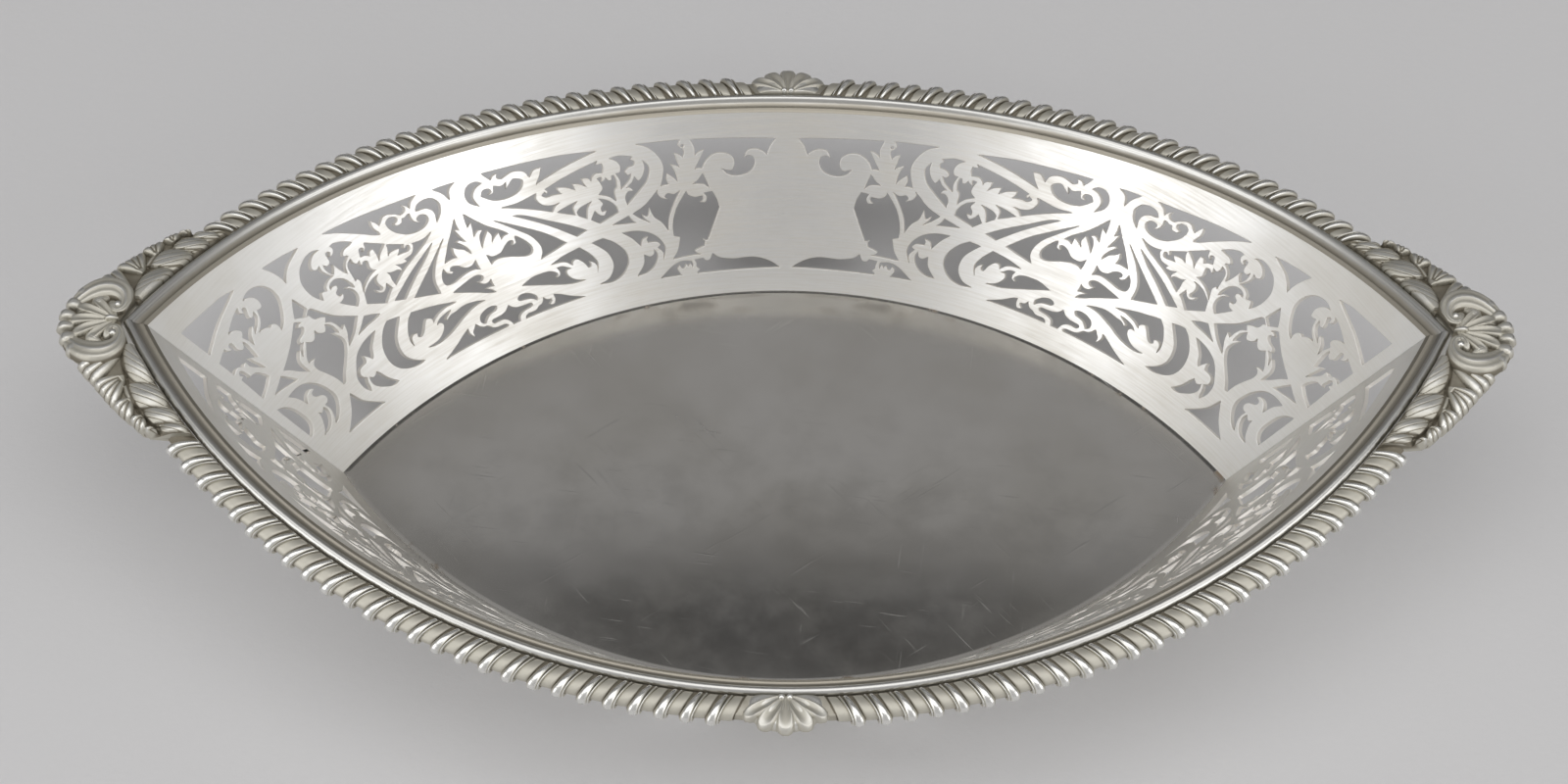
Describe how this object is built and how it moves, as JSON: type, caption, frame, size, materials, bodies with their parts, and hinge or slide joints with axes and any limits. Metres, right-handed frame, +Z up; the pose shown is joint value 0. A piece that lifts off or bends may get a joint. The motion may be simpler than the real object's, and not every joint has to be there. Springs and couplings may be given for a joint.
{
  "type": "pierced basket",
  "caption": "Pointed oval silver basket with a flat floor, sloping side panels pierced with scrolls, a rim wire and a gadroon, shell and leaf border.",
  "frame": {"origin": "centre of the flat underside, where the basket stands", "axes": "+Z up, +X along the basket from tip to tip, +Y to the back"},
  "size_m": [0.3526, 0.2118, 0.0619],
  "materials": {
    "floor_silver": "worn mirror polish with fine scratches",
    "panel_silver": "soft polish",
    "wire_silver": "polished",
    "border_silver": "cast relief, polished crests and creamy patina in the hollows"
  },
  "bodies": {
    "root": {"floor_plate": "floor_silver", "back_side_panel": "panel_silver", "front_side_panel": "panel_silver", "back_rim_wire": "wire_silver", "front_rim_wire": "wire_silver", "back_left_gadroon_run": "border_silver", "back_right_gadroon_run": "border_silver", "front_left_gadroon_run": "border_silver", "front_right_gadroon_run": "border_silver", "back_centre_shell": "border_silver", "front_centre_shell": "border_silver", "back_left_leaf_spray": "border_silver", "back_right_leaf_spray": "border_silver", "front_left_leaf_spray": "border_silver", "front_right_leaf_spray": "border_silver", "left_end_shell": "border_silver", "right_end_shell": "border_silver"}
  },
  "joints": []
}
